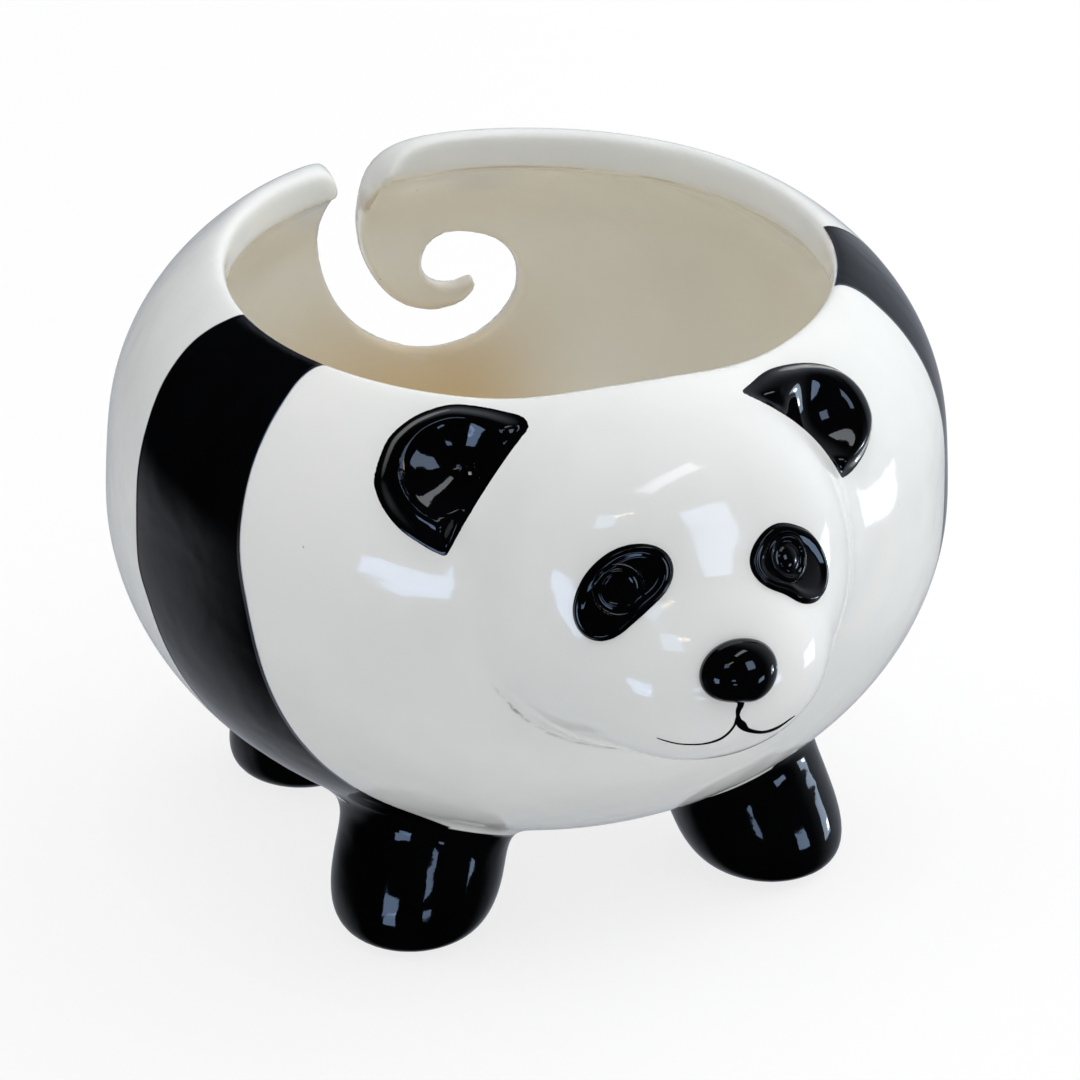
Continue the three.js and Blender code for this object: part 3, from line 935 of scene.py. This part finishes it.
def stroke(stations, around=14):
    """A closed tube lying half in the face, flatter outside than inside."""
    x, z, width = spline(stations, 14 * len(stations)).T
    line = on_face(columns(x, -112.0, z), np.array([0, -1.0, 0]))
    outward = unit(gradient(outer, line, 0.4))
    across = unit(np.cross(outward, unit(np.gradient(line, axis=0))))
    width = np.maximum(width * 1.22, 0.06)
    width[0] *= 0.5
    width[-1] *= 0.4
    angle = np.arange(around) / around * 2 * np.pi
    lift = np.where(np.sin(angle) > 0, 0.16, 0.45) * np.sin(angle)
    width = width[:, None]
    tube = (
        line[:, None]
        + across[:, None] * (width * np.cos(angle))[..., None]
        + outward[:, None] * (lift[None] * (0.6 + width))[..., None]
    ).reshape(-1, 3)
    i, k = np.meshgrid(np.arange(len(line) - 1), np.arange(around), indexing="ij")
    i, k = i.ravel() * around, k.ravel()
    following = (k + 1) % around
    a, b, c, d = i + k, i + following, i + around + following, i + around + k
    r = np.arange(around)
    turn = (r + 1) % around
    last, end = len(tube) - around, len(tube)
    faces = np.vstack([
        columns(a, b, c),
        columns(a, c, d),
        columns(end, turn, r),
        columns(end + 1, last + r, last + turn),
    ])
    points = np.vstack([tube, line[:1], line[-1:]])
    return points, faces, vertex_normals(points, faces)


def mouth_piece():
    first, *others = (stroke(stations) for stations in MOUTH)
    piece = Piece(*first)
    for parts in others:
        piece.add(*parts)
    return piece


# ---------------------------------------------------------------- Blender objects
def add_object(name, data):
    added = bpy.data.objects.new(name, data)
    bpy.context.scene.collection.objects.link(added)
    return added


def tidy(points, faces):
    """Joins points that coincide, then drops loose slivers of 60 triangles or fewer."""
    rounded = np.round(points * 1e7).astype(np.int64)
    _, first, index = np.unique(rounded, axis=0, return_index=True, return_inverse=True)
    faces = first[index.reshape(-1)[faces]]
    a, b, c = faces.T
    faces = faces[(a != b) & (b != c) & (c != a)]
    count = len(faces)
    edges = np.sort(sides(faces), 1).astype(np.int64)
    keys = edges[:, 0] * (len(points) + 1) + edges[:, 1]
    _, edge, uses = np.unique(keys, return_inverse=True, return_counts=True)
    edge = edge.reshape(-1)
    shared = uses[edge] == 2
    # the lowest face number spreads over shared edges until every patch has one label
    label = np.arange(count)
    for _ in range(400):
        lowest = np.full(edge.max() + 1, count)
        np.minimum.at(lowest, edge, np.tile(label, 3))
        new = np.where(shared, lowest[edge], np.tile(label, 3)).reshape(3, count).min(0)
        np.minimum.at(new, label, new.copy())
        new = new[new]
        if (new == label).all():
            break
        label = new
    return faces[np.bincount(label, minlength=count)[label] > 60]


def make(node, piece, looks):
    """Builds the object for a CAD node; a second look goes on the faces inside the pot."""
    points = (piece.points + SHIFT) / 1000.0
    used, faces = compact(tidy(points, piece.faces))
    mesh = bpy.data.meshes.new("look_" + node)
    mesh.vertices.add(len(used))
    mesh.vertices.foreach_set("co", points[used].astype(np.float32).ravel())
    mesh.loops.add(faces.size)
    mesh.loops.foreach_set("vertex_index", faces.astype(np.int32).ravel())
    mesh.polygons.add(len(faces))
    mesh.polygons.foreach_set("loop_start", (np.arange(len(faces)) * 3).astype(np.int32))
    mesh.polygons.foreach_set("loop_total", np.full(len(faces), 3, np.int32))
    mesh.update(calc_edges=True)
    mesh.polygons.foreach_set("use_smooth", np.ones(len(faces), bool))
    for name, mask in piece.masks.items():
        attribute = mesh.attributes.new(name, "FLOAT", "POINT")
        attribute.data.foreach_set("value", mask[used].astype(np.float32))
    for look in looks:
        mesh.materials.append(look)
    if len(looks) > 1:
        lined = piece.masks["cream"][used][faces].min(1) > 0.6
        mesh.polygons.foreach_set("material_index", lined.astype(np.int32))
    mesh.normals_split_custom_set_from_vertices(unit(piece.normals[used]).astype(np.float32))
    mesh.validate()
    made = add_object("look_" + node, mesh)
    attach(made, "root")
    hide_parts(node)


# ---------------------------------------------------------------- shader graphs
class Graph:
    """Short calls for building a node tree; colours are given as (r, g, b)."""

    def __init__(self, owner):
        owner.use_nodes = True
        self.tree = owner.node_tree
        self.tree.nodes.clear()

    def node(self, kind, **settings):
        made = self.tree.nodes.new(kind)
        for name, value in settings.items():
            setattr(made, name, value)
        return made

    def put(self, node, values):
        """Links or sets inputs, given as {name or index: value}."""
        for key, value in values.items():
            if isinstance(value, bpy.types.NodeSocket):
                self.tree.links.new(value, node.inputs[key])
            else:
                colour = isinstance(value, tuple)
                node.inputs[key].default_value = (*value, 1) if colour else value

    def math(self, operation, a, b, clamp=False):
        made = self.node("ShaderNodeMath", operation=operation, use_clamp=clamp)
        self.put(made, {0: a, 1: b})
        return made.outputs[0]

    def times(self, a, b, clamp=False):
        return self.math("MULTIPLY", a, b, clamp)

    def wobble(self, value, noise, amount):
        """The value, disturbed by a noise around zero."""
        return self.math("ADD", value, self.times(self.math("SUBTRACT", noise, 0.5), amount))

    def mix(self, share, first, second):
        made = self.node("ShaderNodeMix", data_type="RGBA")
        self.put(made, {0: share, 6: first, 7: second})
        return made.outputs[2]

    def noise(self, scale, detail=2.0, rough=0.5, distort=0.0):
        made = self.node("ShaderNodeTexNoise")
        self.put(made, {"Vector": self.place, "Scale": scale, "Detail": detail,
                        "Roughness": rough, "Distortion": distort})
        return made.outputs["Fac"]

    def step(self, value, span, to=(0.0, 1.0)):
        """Smooth change over the span of the value."""
        made = self.node("ShaderNodeMapRange", interpolation_type="SMOOTHSTEP")
        self.put(made, dict(enumerate((value, *span, *to))))
        return made.outputs[0]

    def attribute(self, name):
        return self.node("ShaderNodeAttribute", attribute_name=name).outputs["Fac"]

    def split(self, vector):
        made = self.node("ShaderNodeSeparateXYZ")
        self.put(made, {0: vector})
        return made.outputs

    def bump(self, height, distance, normal=None):
        made = self.node("ShaderNodeBump")
        self.put(made, {"Strength": 1.0, "Distance": distance, "Height": height})
        if normal is not None:
            self.put(made, {"Normal": normal})
        return made.outputs["Normal"]

    def specks(self, scale, size, keep):
        """Small round marks on a fraction (keep) of the cells of a grid."""
        cells = self.node("ShaderNodeTexVoronoi", feature="F1")
        self.put(cells, {"Vector": self.place, "Scale": scale, "Randomness": 1.0})
        parts = self.node("ShaderNodeSeparateColor")
        self.put(parts, {0: cells.outputs["Color"]})
        kept = self.math("LESS_THAN", parts.outputs[0], keep)
        radius = self.times(self.math("ADD", parts.outputs[1], 0.5), size)
        share = self.math("DIVIDE", cells.outputs["Distance"], radius)
        inside = self.math("SUBTRACT", 1.0, share, clamp=True)
        return self.times(kept, self.times(inside, 2.0, clamp=True))

    def finish(self, shader, kind="ShaderNodeOutputMaterial"):
        self.put(self.node(kind), {0: shader.outputs[0]})


def start_material(name):
    material = bpy.data.materials.new(name)
    graph = Graph(material)
    graph.place = graph.node("ShaderNodeTexCoord").outputs["Object"]
    return material, graph


# glaze colours; pairs are the two ends of a slow drift
WHITES = (0.775, 0.792, 0.780), (0.822, 0.830, 0.813)
CREAMS = (0.912, 0.894, 0.815), (0.934, 0.918, 0.862)
BLACKS = (0.0006, 0.0006, 0.0007), (0.0014, 0.0015, 0.0019)
WHITE_EDGES = (0.09, 0.12, 0.19), (0.20, 0.15, 0.09)  # white glaze next to black
BLACK_EDGES = (0.025, 0.055, 0.12), (0.04, 0.026, 0.016)  # black glaze next to white
# painted shade colours: the first brown darkens the inside low down, the second lies just under
# the lip
DEEP_SHADE_BROWN, UNDER_LIP_SHADE_BROWN = (0.71, 0.53, 0.28), (0.45, 0.34, 0.20)
CLOUD_GREY, SPECK_BROWN = (0.62, 0.60, 0.54), (0.22, 0.18, 0.13)
# the middle colour here is painted shade for the chin fold
HALO_BLUE, CHIN_SHADE_DARK, DENT_BROWN = (0.60, 0.66, 0.74), (0.05, 0.047, 0.045), (0.30, 0.21, 0.12)
DENT_AT = (-0.0515, 0.0300, 0.1160)  # metres, on the inner lip


def white_glaze():
    material, g = start_material("white_glaze_look")
    cream, ink = g.attribute("cream"), g.attribute("ink")
    big = g.noise(scale=26, detail=3, rough=0.55, distort=0.3)
    mid = g.noise(scale=120, detail=3, rough=0.6)
    fine = g.noise(scale=900)
    white = g.mix(g.step(big, span=(0.35, 0.68)), *WHITES)
    warm = g.mix(g.step(big, span=(0.32, 0.7)), *CREAMS)
    # painted shade: the inside turns browner and darker low down at the back, away from the
    # panda's left
    x, y, z = g.split(g.place)
    deep_shade = g.times(g.step(z, span=(0.088, 0.048)), g.step(x, span=(0.042, 0.010)))
    deep_shade = g.times(deep_shade, g.step(y, span=(0.040, 0.078)))
    warm = g.mix(deep_shade, warm, DEEP_SHADE_BROWN)
    # painted shade: a broken brown line just under the lip, where the inside colour begins
    patches = g.step(g.noise(scale=60), span=(0.46, 0.62))
    start = g.times(g.step(cream, span=(0.35, 0.8)), g.step(cream, span=(1.0, 0.93)))
    under_lip_shade = g.times(patches, start)
    warm = g.mix(g.times(under_lip_shade, 0.6), warm, UNDER_LIP_SHADE_BROWN)
    colour = g.mix(cream, white, warm)
    cloud = g.math("ADD", g.times(mid, 0.05), g.times(fine, 0.02))
    colour = g.mix(cloud, colour, CLOUD_GREY)
    # pinholes and ash specks
    large = g.specks(scale=95, size=0.022, keep=0.05)
    small = g.specks(scale=210, size=0.035, keep=0.03)
    spots = g.math("MAXIMUM", large, small)
    colour = g.mix(g.times(spots, 0.55), colour, SPECK_BROWN)
    # thin dark bleed where black meets white, with a faint blue-grey halo further out
    near = g.wobble(ink, g.noise(scale=260), 0.35)
    edge = g.step(near, span=(0.30, 0.02))
    halo = g.step(near, span=(1.5, 0.2))
    colour = g.mix(g.times(halo, 0.10), colour, HALO_BLUE)
    tint = g.mix(g.step(g.noise(scale=40, detail=1), span=(0.42, 0.6)), *WHITE_EDGES)
    colour = g.mix(g.times(edge, 0.62), colour, tint)
    # painted shade: a dark line in the fold under the chin
    fold = g.wobble(g.attribute("fold"), g.noise(scale=300), 0.25)
    line = g.step(fold, span=(0.42, 0.06))
    strength = g.step(g.noise(scale=30, rough=0.6), span=(0.40, 0.58), to=(0.45, 1.0))
    line = g.times(line, strength)
    line = g.times(line, g.step(z, span=(0.077, 0.070)))
    colour = g.mix(g.times(line, 0.68), colour, CHIN_SHADE_DARK)
    # a small brown dent on the inner lip
    away = g.node("ShaderNodeVectorMath", operation="DISTANCE")
    g.put(away, {0: g.place})
    away.inputs[1].default_value = DENT_AT
    away = g.wobble(away.outputs["Value"], g.noise(scale=500), 0.0012)
    dent = g.step(away, span=(0.0019, 0.0006))
    colour = g.mix(g.times(dent, 0.7), colour, DENT_BROWN)
    surface = g.node("ShaderNodeBsdfPrincipled")
    rough = g.step(mid, span=(0.3, 0.75), to=(0.07, 0.12))
    rough = g.math("ADD", rough, g.times(cream, 0.06))
    normal = g.bump(g.noise(scale=34, distort=0.2), distance=0.0011)
    normal = g.bump(g.noise(scale=150), 0.00009, normal)
    pits = g.math("MAXIMUM", spots, g.times(dent, 3.0))
    normal = g.bump(g.math("SUBTRACT", 1.0, pits), 0.00015, normal)
    g.put(surface, {"Base Color": colour, "Roughness": rough, "IOR": 1.52,
                    "Coat Weight": 0.25, "Coat Roughness": 0.03,
                    "Normal": normal, "Coat Normal": normal})
    g.finish(surface)
    return material


def black_glaze():
    material, g = start_material("black_glaze_look")
    ink = g.attribute("ink")
    big = g.noise(scale=55, detail=3, rough=0.55, distort=0.4)
    fine = g.noise(scale=700)
    colour = g.mix(g.step(big, span=(0.3, 0.7)), *BLACKS)
    rim = g.step(g.wobble(ink, fine, 0.3), span=(0.34, 0.04))
    tint = g.mix(g.step(g.noise(scale=45, detail=1), span=(0.45, 0.6)), *BLACK_EDGES)
    colour = g.mix(g.times(rim, 0.6), colour, tint)
    surface = g.node("ShaderNodeBsdfPrincipled")
    rough = g.step(fine, span=(0.3, 0.75), to=(0.035, 0.075))
    # rounded edge, broad and fine waves, then pits
    normal = g.bump(g.step(ink, span=(0.75, 0.05)), distance=0.00016)
    normal = g.bump(g.noise(scale=62, distort=0.3), 0.00042, normal)
    normal = g.bump(g.noise(scale=420), 0.00002, normal)
    pits = g.specks(scale=150, size=0.06, keep=0.06)
    normal = g.bump(g.math("SUBTRACT", 1.0, pits), 0.00012, normal)
    g.put(surface, {"Base Color": colour, "Roughness": rough, "IOR": 1.5, "Normal": normal})
    g.finish(surface)
    return material


def paper():
    """Reads nearly white to the camera, with only a light shadow under the feet."""
    material, g = start_material("pale_paper")
    surface = g.node("ShaderNodeBsdfPrincipled")
    tone = g.mix(g.noise(scale=8, detail=3), (0.90, 0.90, 0.90), (0.93, 0.93, 0.93))
    grain = g.bump(g.noise(scale=900, detail=3), distance=0.00003)
    g.put(surface, {"Base Color": tone, "Roughness": 0.9, "Specular IOR Level": 0.1,
                    "Normal": grain})
    glow = g.node("ShaderNodeEmission")
    g.put(glow, {"Color": (1, 1, 1), "Strength": 1.0})
    blend = g.node("ShaderNodeMixShader")
    camera_ray = g.node("ShaderNodeLightPath").outputs["Is Camera Ray"]
    g.put(blend, {0: g.times(camera_ray, 0.8), 1: surface.outputs[0], 2: glow.outputs[0]})
    g.finish(blend)
    return material


# ---------------------------------------------------------------- floor, light, camera (metres)
def floor(count=96, radius=6.0, z=-0.00005):
    """A disc just below the ground."""
    mesh = bpy.data.meshes.new("floor")
    angles = [2 * math.pi * i / count for i in range(count)]
    points = [(0, 0, z)] + [(radius * math.cos(a), radius * math.sin(a), z) for a in angles]
    faces = [(0, 1 + i, 1 + (i + 1) % count) for i in range(count)]
    mesh.from_pydata(points, [], faces)
    disc = add_object("floor", mesh)
    mesh.materials.append(paper())
    disc.visible_glossy = False


# name, azimuth, elevation, distance, width, height, power in watts, colour
# azimuth 0 is in front of the face, + towards the panda's left; angles in degrees
SOFT_LIGHTS = [
    ("top_soft", 60, 78, 1.9, 2.4, 2.4, 25.5, (1.0, 1.0, 1.0)),
    ("right_soft", 105, 16, 1.8, 1.4, 1.2, 22, (0.97, 0.99, 1.0)),
    ("front_soft", 0, 7, 2.0, 2.0, 0.9, 6.8, (0.96, 0.98, 1.0)),
    ("left_soft", -115, 20, 2.0, 1.4, 1.2, 8.5, (0.97, 0.98, 1.0)),
]
# name, azimuth, elevation, distance, width and height in degrees, glow, colour, roll
WINDOWS = [
    ("pane_left", -32, 45, 1.5, 12, 11, 2.6, (0.52, 0.70, 1.0), 6),
    ("pane_left_low", -54, -1, 1.5, 17, 9, 4.5, (0.46, 0.64, 1.0), -4),
    ("pane_left_low2", -52, -8, 1.5, 13, 6, 4.5, (0.46, 0.64, 1.0), 5),
    ("pane_right", 27, 32, 1.5, 14, 18, 3.6, (0.56, 0.72, 1.0), -3),
    ("pane_right_low", 45, -9, 1.5, 14, 9, 4.5, (0.50, 0.68, 1.0), 3),
    ("pane_mid_low", -12, 4, 1.5, 8, 4, 4, (0.48, 0.66, 1.0), 8),
    ("pane_mid_low2", -9, -9, 1.5, 8, 4, 4, (0.48, 0.66, 1.0), -6),
    ("pane_top", 40, 74, 1.5, 30, 9, 3.2, (0.90, 0.95, 1.0), 0),
    ("strip_warm", -20, 50, 1.5, 8, 1.6, 7, (1.0, 0.76, 0.45), 14),
    ("pane_side", 85, -11, 1.5, 13, 12, 4.5, (0.62, 0.78, 1.0), 0),
    ("pane_core", 88, -13, 1.45, 4, 3.5, 30, (0.9, 0.96, 1.0), 0),
]
LIGHT_TARGET = Vector((0, 0, 0.06))


def area(name, azimuth, elevation, distance, width, height, power, colour,
         roll=0, reflection=False):
    """Area light aimed at the pot; a reflection light only shows in the glaze."""
    a, e = math.radians(azimuth), math.radians(elevation)
    light = bpy.data.lights.new(name, "AREA")
    light.shape = "RECTANGLE"
    light.size, light.size_y = width, height
    light.energy, light.color = power, colour
    lamp = add_object(name, light)
    toward = Vector((math.sin(a) * math.cos(e), -math.cos(a) * math.cos(e), math.sin(e)))
    lamp.location = position = LIGHT_TARGET + toward * distance
    lamp.rotation_euler = (LIGHT_TARGET - position).to_track_quat("-Z", "Y").to_euler()
    if roll:
        lamp.rotation_euler.rotate_axis("Z", math.radians(roll))
    lamp.visible_glossy, lamp.visible_diffuse = reflection, not reflection


def window(name, azimuth, elevation, distance, width, height, glow, colour, roll):
    w, h = (2 * distance * math.tan(math.radians(angle / 2)) for angle in (width, height))
    power = glow * math.pi * w * h
    area(name, azimuth, elevation, distance, w, h, power, colour, roll, reflection=True)


def inside_fill():
    """A soft beam straight down into the bowl."""
    light = bpy.data.lights.new("inside_fill", "SPOT")
    light.energy, light.color = 28, (1.0, 0.99, 0.97)
    light.spot_size, light.spot_blend = math.radians(5.6), 0.5
    light.shadow_soft_size = 0.05
    lamp = add_object("inside_fill", light)
    lamp.location = (0.0, 0.0158, 1.25)
    lamp.visible_glossy = False


def studio():
    """White to the camera; reflections see a dark room with a bright backdrop and table."""
    world = bpy.data.worlds.new("studio")
    bpy.context.scene.world = world
    g = Graph(world)
    rays = g.node("ShaderNodeLightPath").outputs
    background = g.node("ShaderNodeBackground")
    direction = g.node("ShaderNodeTexCoord").outputs["Generated"]
    facing = g.node("ShaderNodeVectorMath", operation="DOT_PRODUCT")
    g.put(facing, {0: direction})
    facing.inputs[1].default_value = (0.75, 0.66, 0.0)  # towards the backdrop
    backdrop = g.step(facing.outputs["Value"], span=(0.30, 1.0))
    room = g.mix(backdrop, (0.005, 0.006, 0.008), (0.30, 0.33, 0.38))
    _, y, z = g.split(direction)
    table = g.times(g.step(z, span=(-0.12, -0.50)), g.step(y, span=(0.05, 0.60)))
    room = g.mix(table, room, (0.34, 0.36, 0.40))
    seen = g.mix(rays["Is Glossy Ray"], (0.36, 0.36, 0.37), room)
    seen = g.mix(rays["Is Camera Ray"], seen, (1, 1, 1))
    g.put(background, {"Color": seen, "Strength": 1.0})
    g.finish(background, "ShaderNodeOutputWorld")


def camera():
    scene = bpy.context.scene
    lens = bpy.data.cameras.new("camera")
    lens.sensor_width, lens.lens = 36.0, 167.83
    lens.clip_start, lens.clip_end = 0.01, 50
    viewer = add_object("camera", lens)
    right = Vector((0.93994133, -0.34121141, 0.00922324))
    up = Vector((0.15865779, 0.46066303, 0.87327961))
    forward = Vector((0.30222178, 0.81936826, -0.48713207))
    pose = Matrix((right, up, -forward)).transposed().to_4x4()
    pose.translation = Vector((-0.3040437, -0.8322359 + SHIFT[1] / 1000, 0.5536989))
    viewer.matrix_world = pose
    scene.camera = viewer
    view = scene.view_settings
    view.view_transform = "Standard"
    view.look = "None"
    view.exposure, view.gamma = 0.0, 1.0


# ---------------------------------------------------------------- build
skin = Skin()
black_pieces = {"band_right": skin.band_piece(-1), "band_left": skin.band_piece(1)}
skin.recess(Skin.EAR, ear_recess)
skin.recess(Skin.BAND, lambda points: np.full(len(points), BAND_RECESS))
pot = split_pot(skin)
black_pieces.update({name: ear_piece(ear) for name, ear in EARS.items()})
black_pieces.update(eye_pieces("right"))
black_pieces.update(eye_pieces("left"))
black_pieces.update(nose=nose_piece(), mouth_line=mouth_piece())

white, black = white_glaze(), black_glaze()
for name, piece in pot.items():
    if name in LEGS:  # the hollow inside of a foot carries the lining glaze of the bowl
        make(name, piece, [black, white])
    else:
        make(name, piece, [white])
for name, piece in black_pieces.items():
    make(name, piece, [black])

floor()
for row in SOFT_LIGHTS:
    area(*row)
for row in WINDOWS:
    window(*row)
inside_fill()
studio()
camera()

bpy.context.view_layer.update()
